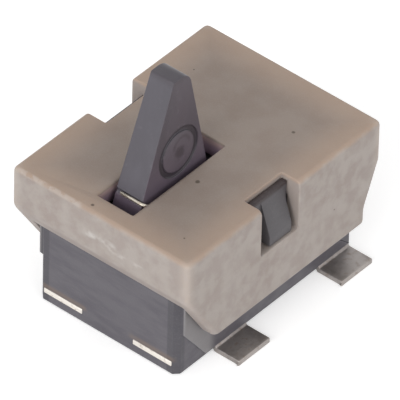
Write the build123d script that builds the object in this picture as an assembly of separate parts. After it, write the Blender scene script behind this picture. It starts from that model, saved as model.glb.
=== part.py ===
from build123d import *
import os
from math import cos, radians, sin, tan

# Surface-mount two-way detector switch. Millimetres, +Z up.
# X is the width and the pivot direction, Y the length, along which the lever swings.
# The origin is the middle of the footprint, on the board.

# ---------------------------------------------------------------- driving sizes
COVER_WIDTH = 4.0           # X, over the skirts
COVER_LENGTH = 5.2          # Y, over the end faces
COVER_TOP_Z = 2.95          # height of the cover's top face above the board
END_FACE_HEIGHT = 0.87      # upright part of each end face
SKIRT_BOTTOM_Z = 0.80
FRONT_SKIRT_INSET = 0.82    # how far the sloping front edge runs in at the skirt's bottom
REAR_SKIRT_INSET = 0.37
REAR_BEND_Z = 1.16          # the rear edge is upright again below this height
TOP_WALL = 0.42
SIDE_WALL = 0.30
END_WALL = 0.25
COVER_EDGE_RADIUS = 0.05

SLOT_LENGTH = 2.46
LEVER_THICKNESS = 0.60
SLOT_END_GAP = 0.395        # lever to slot end, at the cover's top face

RIGHT_NOTCH_DEPTH = 0.42    # X, from the cover's side
LEFT_NOTCH_DEPTH = 0.46
NOTCH_BOTTOM_Z = 1.90
RIGHT_NOTCH_Y = (-0.62, 0.38)
LEFT_NOTCH_Y = (-0.64, 0.58)

PIVOT_Y = -0.96
TRUNNION_RADIUS = 0.24
TRUNNION_BEARING = 0.25     # length of each trunnion in its saddle
HUB_RADIUS = 0.55
HUB_WAIST_ANGLE = 50        # degrees from straight down, where the hub meets the fin's sides

FIN_HEIGHT = 2.13           # above the cover's top face
FIN_FRONT_SLOPE = 20.7      # degrees from upright
FIN_REAR_SLOPE = 11.9
FIN_FOOT_DROP = 0.45        # below the cover's top face
FIN_TOP_FRONT_RADIUS = 0.05
FIN_TOP_REAR_RADIUS = 0.28
TAIL_HALF_WIDTH = 0.20
TAIL_BOTTOM_Z = 0.82
EJECTOR_RING_RADIUS = 0.51  # round mark on the lever's +X face
EJECTOR_RING_WIDTH = 0.10
EJECTOR_RING_DEPTH = 0.035
EJECTOR_RING_RISE = 0.52    # above the cover's top face
EJECTOR_RING_SHIFT = 0.10   # towards +Y from the pivot

BASE_WIDTH = 3.16
BASE_BOTTOM_Z = 0.02
BASE_CORNER_CHAMFER = 0.10
BASE_FLOOR_Z = 0.45
BASE_FRONT_WALL = 0.23
BASE_SIDE_WALL = 0.58
MECHANISM_ROOM_END_Y = 0.45
CROSS_WALL = 0.30
CHEEK_BOTTOM_Z = 0.14
CHEEK_FRONT_Z = 0.94        # height at which the cheek's front edge starts to slope in
CHEEK_SLOPE_RUN = 0.60
LATCH_Y = (-0.34, 0.24)
RIGHT_LATCH_DROP = 0.10     # latch arm's end below the cover's top face
LEFT_LATCH_DROP = 0.23
LATCH_ARM_THICKNESS = 0.12
LATCH_NOSE_DEPTH = 0.23
LATCH_NOSE_HEIGHT = 0.20

LEAD_THICKNESS = 0.11
LEAD_PLANE_Z = 0.19         # underside of the lead frame inside the base
FOOT_PROUD = 0.20           # X, past the cover's side
FOOT_WIDTH = 0.83
FRONT_FOOT_Y = -0.97
REAR_FOOT_Y = 1.81
LEAD_BEND_RUN = 0.10        # X run of the slope from the base's side down to the board
STUB_WIDTH = 0.88
STUB_INNER_X = 0.58
STUB_PROUD = 0.012
PAD_TOP_Z = 1.32
PAD_GAP = 0.36              # insulating gap between the two switched pads
PAD_LENGTH = 0.85
LEAD_GAP = 0.22             # insulating gap between the forward and reverse leads

WIRE_RADIUS = 0.035
WIRE_BEND_RADIUS = 0.09
COIL_TURNS = 4
COIL_PITCH = 0.11
HOOK_DROP = 0.05            # upper leg below the cover's top face, across the lever's front edge
HOOK_REACH = 0.52
ANCHOR_DROP = 0.62          # lower leg below the pivot
ANCHOR_DEPTH = 0.12         # how far that leg enters the wall

CONTACT_SHEET = 0.05
CONTACT_HALF_WIDTH = 0.16
CONTACT_TOP_Z = 1.45
CONTACT_TIP_Z = 1.02

# ---------------------------------------------------------------- clearances
SLOT_SIDE_GAP = 0.10        # lever to each side of the slot
COIL_SIDE_GAP = 0.075       # lever's side to the middle of the first coil
COIL_FIT = 0.055            # coil's inside to the trunnion
COIL_HEADROOM = 0.015       # coil's top to the underside of the cover's top
COVER_FIT = 0.02            # base end faces to the cover's end walls
SKIRT_FIT = 0.04            # base cheeks to the skirts
NOTCH_FIT = 0.02            # latch arm to the notch
TRUNNION_FIT = 0.02
TRUNNION_END_PLAY = 0.05
CAP_FIT = 0.03              # bearing caps to the trunnions
SEAT_FIT = 0.03             # base rim to the cover's ceiling
WIRE_FIT = 0.012
TIP_FIT = 0.01              # moving contact tip to the pads

# ---------------------------------------------------------------- worked out
HALF_WIDTH = COVER_WIDTH / 2
HALF_LENGTH = COVER_LENGTH / 2
FOLD_Z = COVER_TOP_Z - END_FACE_HEIGHT
CEILING_Z = COVER_TOP_Z - TOP_WALL
SLOT_WIDTH = LEVER_THICKNESS + 2 * SLOT_SIDE_GAP
RIGHT_NOTCH = (1, RIGHT_NOTCH_DEPTH, RIGHT_NOTCH_Y)
LEFT_NOTCH = (-1, LEFT_NOTCH_DEPTH, LEFT_NOTCH_Y)
SKIRT_INNER_X = HALF_WIDTH - SIDE_WALL
BASE_HALF_WIDTH = BASE_WIDTH / 2
BASE_HALF_LENGTH = HALF_LENGTH - END_WALL - COVER_FIT
CHEEK_X = SKIRT_INNER_X - SKIRT_FIT
BASE_TOP_Z = CEILING_Z - SEAT_FIT
ROOM_HALF_WIDTH = BASE_HALF_WIDTH - BASE_SIDE_WALL
ROOM_FRONT_Y = -BASE_HALF_LENGTH + BASE_FRONT_WALL
REAR_ROOM_START_Y = MECHANISM_ROOM_END_Y + CROSS_WALL
REAR_ROOM_END_Y = BASE_HALF_LENGTH - BASE_FRONT_WALL
LEAD_TOP_Z = LEAD_PLANE_Z + LEAD_THICKNESS
FOOT_TIP_X = HALF_WIDTH + FOOT_PROUD
COIL_RADIUS = TRUNNION_RADIUS + COIL_FIT + WIRE_RADIUS
PIVOT_Z = CEILING_Z - COIL_HEADROOM - WIRE_RADIUS - COIL_RADIUS
TRUNNION_HALF_SPAN = ROOM_HALF_WIDTH + TRUNNION_BEARING
COIL_START_X = LEVER_THICKNESS / 2 + COIL_SIDE_GAP
FIN_FOOT_Z = COVER_TOP_Z - FIN_FOOT_DROP
HOOK_Z = COVER_TOP_Z - HOOK_DROP
ACROSS = Plane(origin=(0, 0, 0), x_dir=(0, 1, 0), z_dir=(1, 0, 0))      # sketch (y, z), grows to +X
ALONG = Plane(origin=(0, 0, 0), x_dir=(1, 0, 0), z_dir=(0, -1, 0))      # sketch (x, z), grows to -Y


def block(x, y, z):
    """A box between the given (low, high) pairs."""
    return Pos((x[0] + x[1]) / 2, (y[0] + y[1]) / 2, (z[0] + z[1]) / 2) * Box(
        x[1] - x[0], y[1] - y[0], z[1] - z[0]
    )


def plate(outline, x):
    """An outline of (y, z) points, filled and given the thickness x = (low, high)."""
    face = make_face(ACROSS * Polyline(*outline, close=True))
    return Pos(x[0], 0, 0) * extrude(face, x[1] - x[0], dir=(1, 0, 0))


def bar(outline, y):
    """An outline of (x, z) points, filled and run along Y between y = (low, high)."""
    face = make_face(ALONG * Polyline(*outline, close=True))
    return Pos(0, y[0], 0) * extrude(face, y[1] - y[0], dir=(0, 1, 0))


def rod(radius, x, y, z):
    """A round rod along X between x = (low, high)."""
    return Pos((x[0] + x[1]) / 2, y, z) * Rot(0, 90, 0) * Cylinder(radius, x[1] - x[0])


def mirrored(shape):
    return mirror(shape, Plane.YZ)


# ---------------------------------------------------------------- cover
def cover_outline():
    front_bottom = -HALF_LENGTH + FRONT_SKIRT_INSET
    rear_bottom = HALF_LENGTH - REAR_SKIRT_INSET
    return [
        (-HALF_LENGTH, COVER_TOP_Z),
        (-HALF_LENGTH, FOLD_Z),
        (front_bottom, SKIRT_BOTTOM_Z),
        (rear_bottom, SKIRT_BOTTOM_Z),
        (rear_bottom, REAR_BEND_Z),
        (HALF_LENGTH, FOLD_Z),
        (HALF_LENGTH, COVER_TOP_Z),
    ]


def notch(side, depth, span):
    x = (HALF_WIDTH - depth, HALF_WIDTH + 1)
    solid = block(x, span, (NOTCH_BOTTOM_Z, COVER_TOP_Z + 1))
    return solid if side > 0 else mirrored(solid)


def bearing_cap(side):
    """Block under the ceiling that keeps a trunnion down in its saddle."""
    inner = ROOM_HALF_WIDTH + TRUNNION_FIT
    outer = TRUNNION_HALF_SPAN + TRUNNION_END_PLAY - TRUNNION_FIT
    x = (inner, outer) if side > 0 else (-outer, -inner)
    half = TRUNNION_RADIUS - TRUNNION_FIT
    return block(x, (PIVOT_Y - half, PIVOT_Y + half), (PIVOT_Z + TRUNNION_RADIUS + CAP_FIT, CEILING_Z))


def make_cover():
    shell = plate(cover_outline(), (-HALF_WIDTH, HALF_WIDTH))
    shell = fillet(shell.edges().filter_by(lambda e: e.length > 2 * COVER_EDGE_RADIUS), COVER_EDGE_RADIUS)
    room = block(
        (-SKIRT_INNER_X, SKIRT_INNER_X), (-HALF_LENGTH + END_WALL, HALF_LENGTH - END_WALL), (-1, CEILING_Z)
    )
    slot = block(
        (-SLOT_WIDTH / 2, SLOT_WIDTH / 2),
        (PIVOT_Y - SLOT_LENGTH / 2, PIVOT_Y + SLOT_LENGTH / 2),
        (CEILING_Z - 1, COVER_TOP_Z + 1),
    )
    shell = shell - room - slot - notch(*RIGHT_NOTCH) - notch(*LEFT_NOTCH)
    return shell + bearing_cap(1) + bearing_cap(-1)


# ---------------------------------------------------------------- terminals
def foot(side, y_mid):
    """Lead running out of the base, down and flat along the board."""
    down = BASE_HALF_WIDTH
    flat = down + LEAD_BEND_RUN
    outline = [
        (ROOM_HALF_WIDTH, LEAD_PLANE_Z),
        (ROOM_HALF_WIDTH, LEAD_TOP_Z),
        (down, LEAD_TOP_Z),
        (flat, LEAD_THICKNESS),
        (FOOT_TIP_X, LEAD_THICKNESS),
        (FOOT_TIP_X, 0),
        (flat - LEAD_THICKNESS / 2, 0),
        (down - LEAD_THICKNESS / 2, LEAD_PLANE_Z),
    ]
    solid = bar(outline, (y_mid - FOOT_WIDTH / 2, y_mid + FOOT_WIDTH / 2))
    bends = solid.edges().filter_by(Axis.Y).filter_by(
        lambda e: down - LEAD_THICKNESS < e.center().X < FOOT_TIP_X - LEAD_THICKNESS
    )
    solid = fillet(bends, LEAD_THICKNESS / 3)
    return solid if side > 0 else mirrored(solid)


def stub(side):
    """Cut end of the lead frame, showing in the base's front face."""
    x = (STUB_INNER_X, STUB_INNER_X + STUB_WIDTH)
    solid = block(x, (-BASE_HALF_LENGTH - STUB_PROUD, FRONT_FOOT_Y), (LEAD_PLANE_Z, LEAD_TOP_Z))
    return solid if side > 0 else mirrored(solid)


def pad(side, y):
    """Upright contact plate, flush with the inner face of the side wall."""
    solid = block((ROOM_HALF_WIDTH, ROOM_HALF_WIDTH + LEAD_THICKNESS), y, (LEAD_PLANE_Z, PAD_TOP_Z))
    return solid if side > 0 else mirrored(solid)


def riser_step(near, rail_start, far):
    """Upper half of the reverse pad, which overhangs the forward terminal's foot."""
    return block(
        (ROOM_HALF_WIDTH, ROOM_HALF_WIDTH + LEAD_THICKNESS),
        (near, far),
        (LEAD_TOP_Z + LEAD_GAP, PAD_TOP_Z),
    )


def make_common_terminal():
    reach = PAD_LENGTH + PAD_GAP / 2
    return foot(-1, FRONT_FOOT_Y) + stub(-1) + pad(-1, (PIVOT_Y - reach, PIVOT_Y + reach))


def make_forward_terminal():
    near = PIVOT_Y - PAD_GAP / 2
    return foot(1, FRONT_FOOT_Y) + stub(1) + pad(1, (near - PAD_LENGTH, near))


def make_reverse_terminal():
    near = PIVOT_Y + PAD_GAP / 2
    far = near + PAD_LENGTH
    rail_x = (ROOM_HALF_WIDTH, ROOM_HALF_WIDTH + 2 * LEAD_THICKNESS)
    rail_start = FRONT_FOOT_Y + FOOT_WIDTH / 2 + LEAD_GAP
    rail = block(rail_x, (rail_start, REAR_FOOT_Y), (LEAD_PLANE_Z, LEAD_TOP_Z))
    return foot(1, REAR_FOOT_Y) + rail + pad(1, (rail_start, far)) + riser_step(near, rail_start, far)


def make_support_terminal():
    tab = block(
        (-ROOM_HALF_WIDTH, -STUB_INNER_X),
        (REAR_FOOT_Y - FOOT_WIDTH / 4, REAR_FOOT_Y + FOOT_WIDTH / 4),
        (LEAD_PLANE_Z, LEAD_TOP_Z),
    )
    return foot(-1, REAR_FOOT_Y) + tab


# ---------------------------------------------------------------- base
def cheek(side):
    front = -BASE_HALF_LENGTH + BASE_CORNER_CHAMFER
    rear = -front
    outline = [
        (front, BASE_TOP_Z - SEAT_FIT),
        (front, CHEEK_FRONT_Z),
        (front + CHEEK_SLOPE_RUN, CHEEK_BOTTOM_Z),
        (rear, CHEEK_BOTTOM_Z),
        (rear, BASE_TOP_Z - SEAT_FIT),
    ]
    solid = plate(outline, (BASE_HALF_WIDTH - BASE_SIDE_WALL / 2, CHEEK_X))
    return solid if side > 0 else mirrored(solid)


def latch(side, depth, notch_y, drop):
    """Arm standing in the notch, with the ramped nose that clips over the notch's floor."""
    arm_in = HALF_WIDTH - depth + NOTCH_FIT
    arm_out = HALF_WIDTH - RIGHT_NOTCH_DEPTH + NOTCH_FIT + LATCH_ARM_THICKNESS
    arm_top = COVER_TOP_Z - drop
    sill = NOTCH_BOTTOM_Z + NOTCH_FIT
    arm = [
        (BASE_HALF_WIDTH - BASE_SIDE_WALL / 2, sill - LATCH_NOSE_DEPTH),
        (CHEEK_X, sill - LATCH_NOSE_DEPTH),
        (CHEEK_X, sill),
        (arm_out, sill),
        (arm_out, arm_top),
        (arm_in, arm_top),
        (arm_in, BASE_TOP_Z - SEAT_FIT),
        (BASE_HALF_WIDTH - BASE_SIDE_WALL / 2, BASE_TOP_Z - SEAT_FIT),
    ]
    nose = [
        (CHEEK_X, sill),
        (arm_out + LATCH_NOSE_DEPTH, sill),
        (arm_out + LATCH_NOSE_DEPTH, sill + LATCH_NOSE_HEIGHT),
        (arm_out, arm_top - LATCH_NOSE_DEPTH / 6),
        (CHEEK_X, arm_top - LATCH_NOSE_DEPTH / 6),
    ]
    solid = bar(arm, (notch_y[0] + NOTCH_FIT, notch_y[1] - NOTCH_FIT)) + bar(nose, LATCH_Y)
    return solid if side > 0 else mirrored(solid)


def saddle(side):
    """U-shaped seat for a trunnion, open at the rim of the side wall."""
    radius = TRUNNION_RADIUS + TRUNNION_FIT
    x = (ROOM_HALF_WIDTH - 1, TRUNNION_HALF_SPAN + TRUNNION_END_PLAY)
    solid = rod(radius, x, PIVOT_Y, PIVOT_Z) + block(
        x, (PIVOT_Y - radius, PIVOT_Y + radius), (PIVOT_Z, BASE_TOP_Z + 1)
    )
    return solid if side > 0 else mirrored(solid)


def make_base(terminals):
    x = (-BASE_HALF_WIDTH, BASE_HALF_WIDTH)
    y = (-BASE_HALF_LENGTH, BASE_HALF_LENGTH)
    body = block(x, y, (BASE_BOTTOM_Z, BASE_TOP_Z))
    body = chamfer(body.edges().filter_by(Axis.Z), BASE_CORNER_CHAMFER)
    for notch_sizes, drop in ((RIGHT_NOTCH, RIGHT_LATCH_DROP), (LEFT_NOTCH, LEFT_LATCH_DROP)):
        body = body + cheek(notch_sizes[0]) + latch(*notch_sizes, drop)
    room_x = (-ROOM_HALF_WIDTH, ROOM_HALF_WIDTH)
    body = body - block(room_x, (ROOM_FRONT_Y, MECHANISM_ROOM_END_Y), (BASE_FLOOR_Z, BASE_TOP_Z + 1))
    body = body - block(room_x, (REAR_ROOM_START_Y, REAR_ROOM_END_Y), (BASE_FLOOR_Z, BASE_TOP_Z + 1))
    body = body - saddle(1) - saddle(-1)
    anchor_radius = WIRE_RADIUS + WIRE_FIT
    anchor_x = (ROOM_HALF_WIDTH - 0.1, ROOM_HALF_WIDTH + ANCHOR_DEPTH + WIRE_FIT)
    body = body - rod(anchor_radius, anchor_x, PIVOT_Y + COIL_RADIUS, PIVOT_Z - ANCHOR_DROP)
    for terminal in terminals:
        body = body - terminal
    return body


# ---------------------------------------------------------------- lever
def fin_edge_y(z, side):
    """Y of the fin's front (side -1) or rear (side 1) edge at height z."""
    slope = FIN_FRONT_SLOPE if side < 0 else FIN_REAR_SLOPE
    half = SLOT_LENGTH / 2 - SLOT_END_GAP
    return PIVOT_Y + side * (half - tan(radians(slope)) * (z - COVER_TOP_Z))


def make_lever():
    top = COVER_TOP_Z + FIN_HEIGHT
    half_x = LEVER_THICKNESS / 2
    waist_y = HUB_RADIUS * sin(radians(HUB_WAIST_ANGLE))
    waist_z = PIVOT_Z - HUB_RADIUS * cos(radians(HUB_WAIST_ANGLE))
    outline = [
        (fin_edge_y(top, -1), top),
        (fin_edge_y(FIN_FOOT_Z, -1), FIN_FOOT_Z),
        (PIVOT_Y - waist_y, waist_z),
        (PIVOT_Y - TAIL_HALF_WIDTH, PIVOT_Z - HUB_RADIUS),
        (PIVOT_Y - TAIL_HALF_WIDTH, TAIL_BOTTOM_Z),
        (PIVOT_Y + TAIL_HALF_WIDTH, TAIL_BOTTOM_Z),
        (PIVOT_Y + TAIL_HALF_WIDTH, PIVOT_Z - HUB_RADIUS),
        (PIVOT_Y + waist_y, waist_z),
        (fin_edge_y(FIN_FOOT_Z, 1), FIN_FOOT_Z),
        (fin_edge_y(top, 1), top),
    ]
    web = plate(outline, (-half_x, half_x))
    top_edges = web.edges().filter_by(Axis.X).sort_by(Axis.Z)[-2:].sort_by(Axis.Y)
    web = fillet(top_edges[0], FIN_TOP_FRONT_RADIUS)
    rear_edge = web.edges().filter_by(Axis.X).filter_by(
        lambda e: abs(e.center().Y - fin_edge_y(top, 1)) < FIN_TOP_FRONT_RADIUS and e.center().Z > top - 0.01
    )
    web = fillet(rear_edge, FIN_TOP_REAR_RADIUS)
    web = web + rod(TRUNNION_RADIUS, (-TRUNNION_HALF_SPAN, TRUNNION_HALF_SPAN), PIVOT_Y, PIVOT_Z)
    groove = rod(WIRE_RADIUS + WIRE_FIT, (-half_x - 1, half_x + 1), hook_y(), HOOK_Z)
    ring_y = PIVOT_Y + EJECTOR_RING_SHIFT
    ring_z = COVER_TOP_Z + EJECTOR_RING_RISE
    ring_x = (half_x - EJECTOR_RING_DEPTH, half_x + 1)
    ring = rod(EJECTOR_RING_RADIUS, ring_x, ring_y, ring_z) - rod(
        EJECTOR_RING_RADIUS - EJECTOR_RING_WIDTH, ring_x, ring_y, ring_z
    )
    return web - groove - ring


def hook_y():
    """Y of the spring's hook, half let into the fin's front edge."""
    return fin_edge_y(HOOK_Z, -1) - WIRE_RADIUS / 2


# ---------------------------------------------------------------- return spring
def make_return_spring():
    """Torsion spring round the +X trunnion, hooked on the lever and in the wall."""
    coil_length = COIL_TURNS * COIL_PITCH
    coil = Pos(COIL_START_X, PIVOT_Y, PIVOT_Z) * Rot(0, 90, 0) * Rot(0, 0, -90) * Helix(
        COIL_PITCH, coil_length, COIL_RADIUS
    )
    side_gap_x = (LEVER_THICKNESS + SLOT_WIDTH) / 4
    front_y = PIVOT_Y - COIL_RADIUS
    rear_y = PIVOT_Y + COIL_RADIUS
    coil_end_x = COIL_START_X + coil_length
    upper_leg = [
        (side_gap_x - HOOK_REACH, hook_y(), HOOK_Z),
        (side_gap_x, hook_y(), HOOK_Z),
        (side_gap_x, front_y, PIVOT_Z + COIL_RADIUS),
        tuple(coil @ 0),
    ]
    lower_leg = [
        tuple(coil @ 1),
        (coil_end_x, front_y, PIVOT_Z - ANCHOR_DROP / 2),
        (coil_end_x, rear_y, PIVOT_Z - ANCHOR_DROP),
        (ROOM_HALF_WIDTH + ANCHOR_DEPTH, rear_y, PIVOT_Z - ANCHOR_DROP),
    ]
    path = Wire(
        [
            *FilletPolyline(*upper_leg, radius=WIRE_BEND_RADIUS).edges(),
            coil.edge(),
            *FilletPolyline(*lower_leg, radius=WIRE_BEND_RADIUS).edges(),
        ]
    )
    section = Plane(origin=path @ 0, z_dir=path % 0) * Circle(WIRE_RADIUS)
    return sweep(section, path=path)


# ---------------------------------------------------------------- moving contact
def make_moving_contact():
    """Sprung clip folded round the lever's tail, with a wiping finger on each side."""
    inner = LEVER_THICKNESS / 2
    outer = inner + CONTACT_SHEET
    tip = ROOM_HALF_WIDTH - TIP_FIT
    y = (PIVOT_Y - CONTACT_HALF_WIDTH, PIVOT_Y + CONTACT_HALF_WIDTH)
    strap = bar(
        [(inner, TAIL_BOTTOM_Z), (inner, CONTACT_TOP_Z), (outer, CONTACT_TOP_Z), (outer, TAIL_BOTTOM_Z)], y
    )
    finger = bar(
        [
            (inner, CONTACT_TOP_Z),
            (inner, CONTACT_TOP_Z + CONTACT_SHEET),
            (outer, CONTACT_TOP_Z + CONTACT_SHEET),
            (tip, CONTACT_TIP_Z + CONTACT_SHEET),
            (tip, CONTACT_TIP_Z - CONTACT_SHEET),
            (tip - 2 * CONTACT_SHEET, CONTACT_TIP_Z - 2 * CONTACT_SHEET),
            (tip - 2 * CONTACT_SHEET, CONTACT_TIP_Z - CONTACT_SHEET),
            (tip - CONTACT_SHEET, CONTACT_TIP_Z),
            (outer, CONTACT_TOP_Z - CONTACT_SHEET / 2),
        ],
        (y[0] + CONTACT_SHEET, y[1] - CONTACT_SHEET),
    )
    side = strap + finger
    bridge = block((-outer, outer), y, (TAIL_BOTTOM_Z - CONTACT_SHEET, TAIL_BOTTOM_Z))
    return bridge + side + mirrored(side)


# ---------------------------------------------------------------- write the nodes
def main():
    terminals = {
        "common_terminal": make_common_terminal(),
        "forward_terminal": make_forward_terminal(),
        "reverse_terminal": make_reverse_terminal(),
        "support_terminal": make_support_terminal(),
    }
    nodes = {
        "cover": make_cover(),
        "base": make_base(terminals.values()),
        "lever": make_lever(),
        "return_spring": make_return_spring(),
        "moving_contact": make_moving_contact(),
        **terminals,
    }
    os.makedirs("parts", exist_ok=True)
    for name, shape in nodes.items():
        export_step(shape, f"parts/{name}.step")


main()
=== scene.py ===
import math
import random

import bmesh
import bpy
from mathutils import Matrix, Vector, noise


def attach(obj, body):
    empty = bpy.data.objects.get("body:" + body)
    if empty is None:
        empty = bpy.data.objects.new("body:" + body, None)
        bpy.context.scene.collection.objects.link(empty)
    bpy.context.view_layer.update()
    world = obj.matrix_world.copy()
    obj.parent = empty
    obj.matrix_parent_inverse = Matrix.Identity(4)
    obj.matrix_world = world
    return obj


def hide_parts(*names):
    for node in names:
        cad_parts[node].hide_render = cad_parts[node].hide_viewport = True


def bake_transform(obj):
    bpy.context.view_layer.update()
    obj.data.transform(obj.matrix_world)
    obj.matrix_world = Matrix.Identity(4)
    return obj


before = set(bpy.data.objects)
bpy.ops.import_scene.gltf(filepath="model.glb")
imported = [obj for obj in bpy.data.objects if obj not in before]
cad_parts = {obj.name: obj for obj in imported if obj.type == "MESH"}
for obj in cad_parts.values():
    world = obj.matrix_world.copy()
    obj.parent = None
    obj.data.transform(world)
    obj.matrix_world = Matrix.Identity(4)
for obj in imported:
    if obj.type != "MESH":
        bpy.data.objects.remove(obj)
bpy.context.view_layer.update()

MM = 0.001
SCENE = bpy.context.scene

# sizes in millimetres, in the CAD's frame
HALF_WIDTH = 2.0
HALF_LENGTH = 2.6
TOP_Z = 2.95
FOLD_Z = 2.08
SKIRT_Z = 0.80
CEILING_Z = 2.53
FIN_DRAFT = 0.018           # X lost on each side of the fin for each millimetre of height


# ---------------------------------------------------------------- mesh tools, in millimetres
def new_object(name, mesh):
    obj = bpy.data.objects.new(name, mesh)
    SCENE.collection.objects.link(obj)
    return obj


def prism(name, outline, low, high):
    """Outline of (y, z) points run along X from low to high."""
    bm = bmesh.new()
    ends = [[bm.verts.new((x, y, z)) for y, z in outline] for x in (low, high)]
    bm.faces.new(ends[0])
    bm.faces.new(reversed(ends[1]))
    count = len(outline)
    for i in range(count):
        j = (i + 1) % count
        bm.faces.new((ends[0][j], ends[0][i], ends[1][i], ends[1][j]))
    bmesh.ops.recalc_face_normals(bm, faces=bm.faces)
    mesh = bpy.data.meshes.new(name)
    bm.to_mesh(mesh)
    bm.free()
    return new_object(name, mesh)


def block(x, y, z):
    outline = [(y[0], z[0]), (y[1], z[0]), (y[1], z[1]), (y[0], z[1])]
    return prism("block", outline, x[0], x[1])


def bake(obj):
    graph = bpy.context.evaluated_depsgraph_get()
    graph.update()
    mesh = bpy.data.meshes.new_from_object(obj.evaluated_get(graph))
    obj.modifiers.clear()
    old = obj.data
    obj.data = mesh
    mesh.name = obj.name
    bpy.data.meshes.remove(old)


def combine(obj, others, operation):
    for other in others:
        modifier = obj.modifiers.new("combine", "BOOLEAN")
        modifier.object = other
        modifier.solver = "EXACT"
        modifier.operation = operation
    bake(obj)
    for other in others:
        bpy.data.objects.remove(other)


def bevel(obj, width, segments, angle):
    modifier = obj.modifiers.new("bevel", "BEVEL")
    modifier.miter_outer = "MITER_ARC"
    modifier.width = width
    modifier.segments = segments
    modifier.limit_method = "ANGLE"
    modifier.angle_limit = math.radians(angle)
    modifier.use_clamp_overlap = False
    bake(obj)


def finish_mesh(obj, sharp_angle=50):
    """Scales a millimetre mesh to metres and shades it smooth."""
    obj.data.transform(Matrix.Scale(MM, 4))
    obj.data.shade_smooth()
    obj.data.set_sharp_from_angle(angle=math.radians(sharp_angle))
    weighted = obj.modifiers.new("normals", "WEIGHTED_NORMAL")
    weighted.keep_sharp = True
    weighted.weight = 90


def cad_copy(name, node):
    """A millimetre copy of a CAD node's mesh, its flat faces joined up."""
    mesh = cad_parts[node].data.copy()
    mesh.name = name
    mesh.materials.clear()
    mesh.transform(Matrix.Scale(1 / MM, 4))
    bm = bmesh.new()
    bm.from_mesh(mesh)
    bmesh.ops.remove_doubles(bm, verts=bm.verts, dist=1e-4)
    bmesh.ops.dissolve_limit(
        bm, angle_limit=math.radians(1.0), verts=bm.verts, edges=bm.edges, use_dissolve_boundaries=False
    )
    bm.to_mesh(mesh)
    bm.free()
    if mesh.has_custom_normals:
        mesh.free_normals_split() if hasattr(mesh, "free_normals_split") else None
    return new_object(name, mesh)


def place(obj, material, body, node):
    obj.data.materials.clear()
    obj.data.materials.append(material)
    if body:
        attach(obj, body)
    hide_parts(node)


# ---------------------------------------------------------------- shader tools
def srgb(r, g, b):
    def linear(v):
        v = v / 255
        return v / 12.92 if v <= 0.04045 else ((v + 0.055) / 1.055) ** 2.4
    return (linear(r), linear(g), linear(b), 1)


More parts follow.
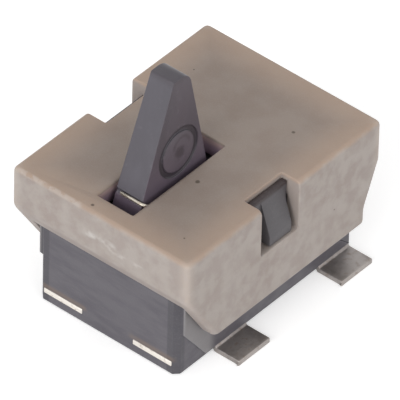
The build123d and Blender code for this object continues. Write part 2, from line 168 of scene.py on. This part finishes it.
class Nodes:
    """Node maker for one material; positions are in millimetres in the CAD's frame."""

    def __init__(self, name):
        self.material = bpy.data.materials.new(name)
        self.material.use_nodes = True
        self.tree = self.material.node_tree
        self.shader = self.tree.nodes["Principled BSDF"]
        where = self.tree.nodes.new("ShaderNodeTexCoord")
        scale = self.tree.nodes.new("ShaderNodeVectorMath")
        scale.operation = "SCALE"
        scale.inputs["Scale"].default_value = 1 / MM
        self.tree.links.new(where.outputs["Object"], scale.inputs[0])
        self.place = scale.outputs[0]
        split = self.tree.nodes.new("ShaderNodeSeparateXYZ")
        self.tree.links.new(self.place, split.inputs[0])
        self.x, self.y, self.z = split.outputs

    def feed(self, socket, value):
        if isinstance(value, bpy.types.NodeSocket):
            self.tree.links.new(value, socket)
        else:
            socket.default_value = value

    def math(self, operation, a, b=0.0):
        node = self.tree.nodes.new("ShaderNodeMath")
        node.operation = operation
        self.feed(node.inputs[0], a)
        self.feed(node.inputs[1], b)
        return node.outputs[0]

    def mul(self, *values):
        result = values[0]
        for value in values[1:]:
            result = self.math("MULTIPLY", result, value)
        return result

    def noise(self, scale, detail=3.0, stretch=(1, 1, 1), offset=(0, 0, 0), roughness=0.55):
        mapping = self.tree.nodes.new("ShaderNodeMapping")
        mapping.inputs["Scale"].default_value = stretch
        mapping.inputs["Location"].default_value = offset
        self.tree.links.new(self.place, mapping.inputs["Vector"])
        node = self.tree.nodes.new("ShaderNodeTexNoise")
        node.inputs["Scale"].default_value = scale
        node.inputs["Detail"].default_value = detail
        node.inputs["Roughness"].default_value = roughness
        self.tree.links.new(mapping.outputs[0], node.inputs["Vector"])
        return node.outputs[0]

    def over(self, value, low, high):
        """0 below low, 1 above high, smooth between; low may be the larger."""
        node = self.tree.nodes.new("ShaderNodeMapRange")
        node.interpolation_type = "SMOOTHSTEP"
        self.feed(node.inputs["Value"], value)
        rising = low < high
        node.inputs["From Min"].default_value = min(low, high)
        node.inputs["From Max"].default_value = max(low, high)
        node.inputs["To Min"].default_value = 0 if rising else 1
        node.inputs["To Max"].default_value = 1 if rising else 0
        return node.outputs[0]

    def band(self, value, low, high, soft):
        return self.mul(self.over(value, low - soft, low + soft), self.over(value, high + soft, high - soft))

    def near(self, point, radius, soft):
        node = self.tree.nodes.new("ShaderNodeVectorMath")
        node.operation = "DISTANCE"
        self.tree.links.new(self.place, node.inputs[0])
        node.inputs[1].default_value = point
        wobble = self.math("MULTIPLY_ADD", self.noise(9, 3), radius * 0.9)
        wobble.node.inputs[2].default_value = -radius * 0.45
        return self.over(self.math("ADD", node.outputs["Value"], wobble), radius + soft, radius - soft)

    def round_band(self, y, z, radius, half, soft):
        """A ring about an axis along X."""
        across = self.math("POWER", self.math("SUBTRACT", self.y, y), 2.0)
        upward = self.math("POWER", self.math("SUBTRACT", self.z, z), 2.0)
        distance = self.math("SQRT", self.math("ADD", across, upward))
        return self.band(distance, radius - half, radius + half, soft)

    def mix(self, amount, a, b):
        node = self.tree.nodes.new("ShaderNodeMix")
        node.data_type = "RGBA"
        self.feed(node.inputs["Factor"], amount)
        self.feed(node.inputs[6], a)
        self.feed(node.inputs[7], b)
        return node.outputs[2]

    def blend(self, amount, a, b):
        node = self.tree.nodes.new("ShaderNodeMix")
        self.feed(node.inputs["Factor"], amount)
        self.feed(node.inputs[2], a)
        self.feed(node.inputs[3], b)
        return node.outputs[0]

    def bump(self, layers):
        """Layers of (height, depth in millimetres), one on the other."""
        normal = None
        for height, depth in layers:
            node = self.tree.nodes.new("ShaderNodeBump")
            node.inputs["Distance"].default_value = depth * MM
            self.tree.links.new(height, node.inputs["Height"])
            if normal:
                self.tree.links.new(normal, node.inputs["Normal"])
            normal = node.outputs[0]
        self.tree.links.new(normal, self.shader.inputs["Normal"])

    def set(self, **values):
        names = {
            "colour": "Base Color", "rough": "Roughness", "metal": "Metallic",
            "specular": "Specular IOR Level", "under": "Subsurface Weight",
        }
        for key, value in values.items():
            self.feed(self.shader.inputs[names[key]], value)
        return self.material


# ---------------------------------------------------------------- materials
def cover_material():
    n = Nodes("cover_plastic")
    width = n.math("ABSOLUTE", n.x)
    length = n.math("ABSOLUTE", n.y)
    on_top = n.over(n.z, 2.86, 2.93)
    edge = n.math("MAXIMUM", n.over(width, 1.1, 2.0), n.over(length, 1.7, 2.6))
    broad = n.noise(0.55, 3, offset=(3.1, 0.4, 1.7))
    blotch = n.noise(1.9, 4, offset=(1.3, 5.2, 0.6))
    grain = n.noise(38, 2)
    pores = n.noise(14, 4, offset=(7, 2, 3))
    side = n.mix(n.over(broad, 0.35, 0.7), srgb(163, 152, 146), srgb(157, 145, 139))
    middle = n.mix(n.over(blotch, 0.35, 0.65), srgb(153, 140, 131), srgb(149, 135, 126))
    # painted light: the top is tinted warmer than the sides to stand in for warm light from above, and made paler
    # towards its rims as a painted highlight
    top = n.mix(n.mul(edge, 0.8), middle, srgb(181, 158, 141))
    colour = n.mix(on_top, side, top)
    colour = n.mix(n.mul(n.over(blotch, 0.5, 0.8), 0.10), colour, srgb(142, 128, 116))
    colour = n.mix(n.mul(n.over(grain, 0.45, 0.75), 0.16), colour, srgb(180, 170, 160))
    # rub marks on the end face, and thin mould flash along its top edge lightened as a ragged painted highlight
    front = n.over(n.y, -2.50, -2.56)
    patch = n.noise(3.2, 3, stretch=(1, 1, 1.4), offset=(0.3, 0, 2.2))
    rub = n.mul(front, n.band(n.x, -0.34, 0.36, 0.10), n.band(n.z, 2.30, 2.50, 0.06), n.over(patch, 0.42, 0.66))
    trail = n.mul(front, n.band(n.x, 0.2, 1.0, 0.15), n.band(n.z, 2.29, 2.37, 0.03), n.over(patch, 0.44, 0.62))
    ragged = n.noise(7.0, 4, offset=(4.4, 1, 0.9))
    # painted highlight: a pale ragged strip of flash along the top front edge
    flash_highlight = n.mul(n.over(n.y, -2.50, -2.55), n.band(n.z, 2.89, 3.0, 0.02), n.band(n.x, -1.95, -0.45, 0.10))
    flash_highlight = n.mul(flash_highlight, n.over(ragged, 0.38, 0.55))
    marks = n.math("MAXIMUM", n.math("MAXIMUM", rub, n.mul(trail, 0.7)), n.mul(flash_highlight, 0.45))
    colour = n.mix(n.mul(marks, 0.75), colour, srgb(208, 205, 201))
    # painted highlight along the rounded rims, patchy, and stronger at the near vertical corners
    painted_rim_highlight = n.math("MAXIMUM", n.over(width, 1.93, 1.99), n.over(length, 2.53, 2.59))
    painted_rim_highlight = n.mul(painted_rim_highlight, n.over(n.noise(3.0, 3), 0.35, 0.65), 0.35)
    colour = n.mix(painted_rim_highlight, colour, srgb(190, 184, 178))
    # painted highlight on the near vertical corners
    corner = n.mul(n.over(width, 1.72, 1.99), n.over(length, 2.32, 2.59))
    colour = n.mix(n.mul(corner, 0.42), colour, srgb(204, 192, 182))
    # painted shade in the slot: its walls below the rim take a brownish shade tone, turning purple deeper down
    in_slot = n.mul(n.over(width, 0.425, 0.41), n.band(n.y, -2.20, 0.28, 0.008))
    painted_slot_shade = n.mul(in_slot, n.over(n.z, 2.93, 2.87))
    colour = n.mix(painted_slot_shade, colour, n.mix(n.over(n.z, 2.88, 2.70), srgb(176, 152, 150), srgb(168, 146, 162)))
    # dark specks moulded in
    specks = None
    for point, radius in (
        ((-0.29, -2.44, 2.95), 0.030), ((0.66, -0.78, 2.95), 0.040), ((1.06, 1.32, 2.95), 0.030),
        ((1.45, -2.05, 2.95), 0.016), ((-1.32, 1.45, 2.95), 0.014), ((2.0, 1.35, 1.7), 0.016),
    ):
        dot = n.near(point, radius, radius * 0.35)
        specks = dot if specks is None else n.math("MAXIMUM", specks, dot)
    colour = n.mix(n.mul(specks, 0.8), colour, srgb(78, 66, 56))
    rough = n.blend(n.over(blotch, 0.3, 0.7), 0.50, 0.62)
    rough = n.blend(marks, rough, 0.8)
    n.bump([(broad, 0.008), (pores, 0.0016), (grain, 0.0008)])
    n.shader.inputs["Subsurface Scale"].default_value = 0.12 * MM
    n.shader.inputs["Subsurface Radius"].default_value = (1.0, 0.75, 0.5)
    return n.set(colour=colour, rough=rough, specular=0.42, under=0.12)


def base_material():
    n = Nodes("base_plastic")
    width = n.math("ABSOLUTE", n.x)
    broad = n.noise(0.9, 3, offset=(2, 1, 0.3))
    grain = n.noise(30, 3)
    flow = n.noise(2.6, 4, stretch=(0.5, 1, 2.0), offset=(5, 0.2, 1))
    colour = n.mix(n.over(flow, 0.35, 0.7), srgb(96, 93, 99), srgb(87, 84, 91))
    # painted shade: a darker band on the base's rounded near corners
    corner = n.mul(n.over(n.y, -2.10, -2.16), n.over(width, 1.33, 1.37))
    colour = n.mix(n.mul(corner, 0.75), colour, srgb(71, 69, 75))
    cheek = n.mul(n.over(width, 1.61, 1.64), n.over(n.z, 1.86, 1.80), n.over(n.y, -1.35, -1.60))
    colour = n.mix(n.mul(cheek, 0.8), colour, srgb(143, 140, 141))
    arm = n.mul(n.over(width, 1.5, 1.55), n.over(n.z, 1.86, 1.90))
    colour = n.mix(arm, colour, srgb(86, 83, 86))
    # painted shade: the base is darker above z 2.76, where it lies in shadow under the cover's top and in the notches
    colour = n.mix(n.over(n.z, 2.76, 2.82), colour, srgb(62, 53, 54))
    colour = n.mix(n.mul(n.over(grain, 0.5, 0.8), 0.2), colour, srgb(120, 118, 122))
    stain = n.mul(n.band(n.z, 0.30, 0.40, 0.04), n.over(n.y, -2.2, -2.3), n.band(width, 0.5, 1.5, 0.06))
    colour = n.mix(n.mul(stain, n.over(broad, 0.3, 0.6), 0.45), colour, srgb(128, 108, 92))
    rough = n.blend(flow, 0.42, 0.60)
    n.bump([(flow, 0.010), (grain, 0.0016)])
    return n.set(colour=colour, rough=rough, specular=0.45)


def lever_material():
    n = Nodes("lever_plastic")
    width = n.math("ABSOLUTE", n.x)
    flow = n.noise(1.6, 4, stretch=(1, 1, 0.45), offset=(1, 3, 0))
    grain = n.noise(34, 3)
    face = n.mix(n.over(flow, 0.35, 0.65), srgb(91, 88, 96), srgb(84, 81, 88))
    flank = n.mix(n.over(flow, 0.4, 0.7), srgb(85, 78, 86), srgb(78, 72, 79))
    # painted light: the flank lightens towards its base into the tone painted on the lever's foot
    low = n.over(n.z, 4.0, 3.1)
    flank = n.mix(n.mul(low, 0.7), flank, srgb(99, 88, 101))
    drafted = n.math("ADD", width, n.mul(n.math("SUBTRACT", n.z, TOP_Z), FIN_DRAFT))
    colour = n.mix(n.over(drafted, 0.286, 0.297), face, flank)
    # painted light: the lever below the cover's top is lightened to offset the slot's shadow
    colour = n.mix(n.over(n.z, 2.88, 2.84), colour, srgb(99, 88, 101))
    crown = n.over(n.z, 4.94, 5.06)
    colour = n.mix(n.mul(crown, 0.6), colour, srgb(70, 64, 70))
    centre = (0.30, -0.86, 3.47)
    right = n.over(n.x, 0.20, 0.25)
    inside = n.mul(right, n.near(centre, 0.39, 0.03))
    colour = n.mix(n.mul(inside, 0.30), colour, srgb(100, 93, 100))
    # painted shade: a dark ring for the shadowed step of the round gate recess, heavier along its upper side
    ring = n.mul(right, n.round_band(-0.86, 3.47, 0.46, 0.06, 0.02))
    colour = n.mix(n.mul(ring, 0.75), colour, srgb(48, 41, 48))
    gate = n.mul(right, n.near((0.30, -0.82, 3.42), 0.12, 0.06))
    colour = n.mix(n.mul(gate, 0.6), colour, srgb(52, 46, 52))
    painted_crescent_shade = n.mul(right, n.round_band(-0.78, 3.55, 0.20, 0.03, 0.03), n.over(n.z, 3.50, 3.61))
    colour = n.mix(n.mul(painted_crescent_shade, 0.45), colour, srgb(58, 51, 57))
    worn = n.mul(n.over(n.noise(6, 4, offset=(0, 2, 5)), 0.60, 0.78), 0.2)
    colour = n.mix(worn, colour, srgb(122, 117, 126))
    rough = n.blend(n.over(flow, 0.3, 0.7), 0.36, 0.50)
    n.bump([(flow, 0.012), (gate, -0.012), (grain, 0.0012)])
    return n.set(colour=colour, rough=rough, specular=0.5)


def metal_material(name, clean, dull, edge, brown, rough_range):
    """Plated strip: dull patches, drawn lines and brown tarnish."""
    n = Nodes(name)
    patch = n.noise(2.4, 4, offset=(0.7, 2.1, 0))
    fine = n.noise(11, 4, offset=(4, 1, 2))
    drawn = n.noise(60, 2, stretch=(0.06, 1, 1))
    colour = n.mix(n.over(patch, 0.36, 0.62), dull, clean)
    tip = n.over(n.math("ABSOLUTE", n.x), 2.13, 2.19)
    colour = n.mix(n.mul(tip, 0.5), colour, edge)
    cut_end = n.over(n.y, -2.32, -2.335)
    colour = n.mix(cut_end, colour, srgb(236, 230, 222))
    colour = n.mix(n.mul(n.over(fine, 0.55, 0.75), 0.5), colour, brown)
    colour = n.mix(n.mul(n.over(drawn, 0.5, 0.8), 0.2), colour, edge)
    rough = n.blend(n.over(fine, 0.3, 0.7), *rough_range)
    n.bump([(patch, 0.008), (fine, 0.003), (drawn, 0.0012)])
    return n.set(colour=colour, rough=rough, metal=0.85)


# ---------------------------------------------------------------- pieces
def rounded(before, corner, after, radius, steps=6):
    """Points of an arc that rounds a corner between its two neighbours."""
    a = (Vector(before) - Vector(corner)).normalized()
    b = (Vector(after) - Vector(corner)).normalized()
    half = a.angle(b) / 2
    reach = radius / math.tan(half)
    centre = Vector(corner) + (a + b).normalized() * radius / math.sin(half)
    start = Vector(corner) + a * reach - centre
    end = Vector(corner) + b * reach - centre
    points = []
    for i in range(steps + 1):
        arm = start.lerp(end, i / steps).normalized() * radius
        points.append(tuple(centre + arm))
    return points


def make_cover():
    front = -HALF_LENGTH + 0.82
    rear = HALF_LENGTH - 0.37
    outline = [
        (-HALF_LENGTH, TOP_Z), (-HALF_LENGTH, FOLD_Z),
        *rounded((-HALF_LENGTH, FOLD_Z), (front, SKIRT_Z), (rear, SKIRT_Z), 0.20),
        (rear, SKIRT_Z), (rear, 1.16), (HALF_LENGTH, FOLD_Z), (HALF_LENGTH, TOP_Z),
    ]
    shell = prism("cover_shell", outline, -HALF_WIDTH, HALF_WIDTH)
    bevel(shell, 0.11, 6, 12)
    room = block((-1.7, 1.7), (-2.35, 2.35), (-1, CEILING_Z))
    slot = block((-0.40, 0.40), (-2.19, 0.27), (CEILING_Z - 1, TOP_Z + 1))
    right = block((HALF_WIDTH - 0.42, HALF_WIDTH + 1), (-0.62, 0.38), (1.90, TOP_Z + 1))
    left = block((-HALF_WIDTH - 1, -HALF_WIDTH + 0.46), (-0.64, 0.58), (1.90, TOP_Z + 1))
    combine(shell, [room, slot, right, left], "DIFFERENCE")
    caps = [block(x, (-1.18, -0.74), (2.42, CEILING_Z + 0.01)) for x in ((1.02, 1.28), (-1.28, -1.02))]
    combine(shell, caps, "UNION")
    bevel(shell, 0.028, 3, 48)
    return shell


def add_burr(obj, centre, size, seed):
    """A torn crumb of metal at a sheared corner, joined to the piece's mesh."""
    random.seed(seed)
    bm = bmesh.new()
    bm.from_mesh(obj.data)
    made = bmesh.ops.create_icosphere(bm, subdivisions=3, radius=1.0)
    for vert in made["verts"]:
        lump = 1 + 0.55 * noise.noise(vert.co * 1.7 + Vector((seed, 2.0, 1.0)))
        vert.co = Vector(centre) + Vector((vert.co.x * size[0], vert.co.y * size[1], vert.co.z * size[2])) * lump
        vert.co.x = max(min(vert.co.x, 2.199), -2.199)
        vert.co.z = max(vert.co.z, 0.0)
    bm.to_mesh(obj.data)
    bm.free()


def make_pieces():
    plastic, dark, grey = cover_material(), base_material(), lever_material()
    lead = metal_material(
        "lead_metal", srgb(160, 154, 151), srgb(142, 136, 133), srgb(178, 171, 166), srgb(128, 108, 94), (0.40, 0.52)
    )
    wire = metal_material(
        "wire_metal", srgb(222, 214, 200), srgb(204, 196, 182), srgb(232, 226, 216), srgb(176, 150, 120), (0.22, 0.36)
    )
    sheet = metal_material(
        "sheet_metal", srgb(214, 188, 140), srgb(190, 162, 116), srgb(226, 204, 160), srgb(150, 110, 76), (0.28, 0.42)
    )

    cover = make_cover()
    finish_mesh(cover)
    place(cover, plastic, "housing", "cover")

    base = cad_copy("base_moulding", "base")
    bevel(base, 0.010, 2, 38)
    finish_mesh(base)
    place(base, dark, "housing", "base")

    lever = cad_copy("lever_arm", "lever")
    bevel(lever, 0.016, 3, 38)
    for vert in lever.data.vertices:
        rise = vert.co.z - TOP_Z
        if rise > 0 and abs(vert.co.x) < 0.31:
            vert.co.x -= math.copysign(FIN_DRAFT * rise * abs(vert.co.x) / 0.30, vert.co.x)
    finish_mesh(lever)
    place(lever, grey, "lever", "lever")

    burrs = {
        "forward_terminal": ((2.185, -1.375, 0.030), (0.032, 0.036, 0.030)),
        "reverse_terminal": ((2.180, 1.405, 0.028), (0.030, 0.034, 0.028)),
        "common_terminal": ((-2.185, -0.565, 0.026), (0.022, 0.026, 0.024)),
        "support_terminal": ((-2.185, 2.210, 0.026), (0.020, 0.024, 0.022)),
    }
    for seed, (node, (centre, size)) in enumerate(burrs.items()):
        terminal = cad_copy(node + "_strip", node)
        bevel(terminal, 0.018, 3, 38)
        add_burr(terminal, centre, size, seed + 3)
        finish_mesh(terminal)
        place(terminal, lead, "housing", node)

    spring = cad_copy("spring_wire", "return_spring")
    finish_mesh(spring, 80)
    place(spring, wire, None, "return_spring")
    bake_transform(spring)

    contact = cad_copy("contact_clip", "moving_contact")
    bevel(contact, 0.008, 2, 38)
    finish_mesh(contact)
    place(contact, sheet, "lever", "moving_contact")


# ---------------------------------------------------------------- camera
def make_camera():
    azimuth, elevation, roll = math.radians(39.437), math.radians(41.097), math.radians(1.474)
    lens_in_frame_widths = 25.122
    distance = 174.96 * MM
    target = Vector((-0.0719, 0.1931, 1.473)) * MM
    back = Vector((
        math.sin(azimuth) * math.cos(elevation),
        -math.cos(azimuth) * math.cos(elevation),
        math.sin(elevation),
    ))
    level = Vector((math.cos(azimuth), math.sin(azimuth), 0))
    upright = back.cross(level)
    right = level * math.cos(roll) + upright * math.sin(roll)
    up = upright * math.cos(roll) - level * math.sin(roll)
    data = bpy.data.cameras.new("camera")
    data.sensor_width = 36
    data.lens = 36 * lens_in_frame_widths
    data.clip_start = 0.01
    data.clip_end = 2.0
    camera = bpy.data.objects.new("camera", data)
    SCENE.collection.objects.link(camera)
    turn = Matrix((right, up, back)).transposed().to_4x4()
    camera.matrix_world = Matrix.Translation(target + back * distance) @ turn
    SCENE.camera = camera


# ---------------------------------------------------------------- studio
def soft_light(name, towards, share, spread, colour):
    """A wide distant lamp; share is what it adds to a surface that faces it."""
    data = bpy.data.lights.new(name, "SUN")
    data.energy = share * math.pi
    data.angle = math.radians(spread)
    data.color = colour
    lamp = bpy.data.objects.new(name, data)
    direction = Vector(towards).normalized()
    lamp.rotation_mode = "QUATERNION"
    lamp.rotation_quaternion = direction.to_track_quat("Z", "Y")
    lamp.location = direction * 0.05
    SCENE.collection.objects.link(lamp)


def seen_directly(tree):
    """1 for rays from the camera, and for its mirror and glass rays."""
    path = tree.nodes.new("ShaderNodeLightPath")
    first = tree.nodes.new("ShaderNodeMath")
    first.operation = "MAXIMUM"
    tree.links.new(path.outputs["Is Camera Ray"], first.inputs[0])
    tree.links.new(path.outputs["Is Glossy Ray"], first.inputs[1])
    second = tree.nodes.new("ShaderNodeMath")
    second.operation = "MAXIMUM"
    tree.links.new(first.outputs[0], second.inputs[0])
    tree.links.new(path.outputs["Is Transmission Ray"], second.inputs[1])
    return second.outputs[0]


def make_studio():
    SCENE.view_settings.view_transform = "Standard"
    world = bpy.data.worlds.new("studio")
    SCENE.world = world
    world.use_nodes = True
    tree = world.node_tree
    strength = tree.nodes.new("ShaderNodeMapRange")
    strength.inputs["To Min"].default_value = 0.60
    strength.inputs["To Max"].default_value = 1.0
    tree.links.new(seen_directly(tree), strength.inputs["Value"])
    tree.nodes["Background"].inputs["Color"].default_value = (1, 1, 1, 1)
    tree.links.new(strength.outputs[0], tree.nodes["Background"].inputs["Strength"])
    soft_light("key", (0.15, -1.0, 0.40), 0.42, 45, (1.0, 1.0, 1.0))
    soft_light("fill", (1.0, -0.15, 0.25), 0.22, 60, (1.0, 0.985, 0.97))

    r = 0.3
    mesh = bpy.data.meshes.new("floor")
    mesh.from_pydata([(-r, -r, 0), (r, -r, 0), (r, r, 0), (-r, r, 0)], [], [(0, 1, 2, 3)])
    floor = new_object("floor", mesh)
    material = bpy.data.materials.new("floor_white")
    material.use_nodes = True
    tree = material.node_tree
    tree.nodes.remove(tree.nodes["Principled BSDF"])
    matt = tree.nodes.new("ShaderNodeBsdfDiffuse")
    matt.inputs["Color"].default_value = (0.88, 0.88, 0.88, 1)
    glow = tree.nodes.new("ShaderNodeEmission")
    amount = tree.nodes.new("ShaderNodeMath")
    amount.operation = "MULTIPLY"
    amount.inputs[1].default_value = 0.46
    tree.links.new(seen_directly(tree), amount.inputs[0])
    tree.links.new(amount.outputs[0], glow.inputs["Strength"])
    both = tree.nodes.new("ShaderNodeAddShader")
    tree.links.new(matt.outputs[0], both.inputs[0])
    tree.links.new(glow.outputs[0], both.inputs[1])
    tree.links.new(both.outputs[0], tree.nodes["Material Output"].inputs["Surface"])
    mesh.materials.append(material)


make_pieces()
make_camera()
make_studio()
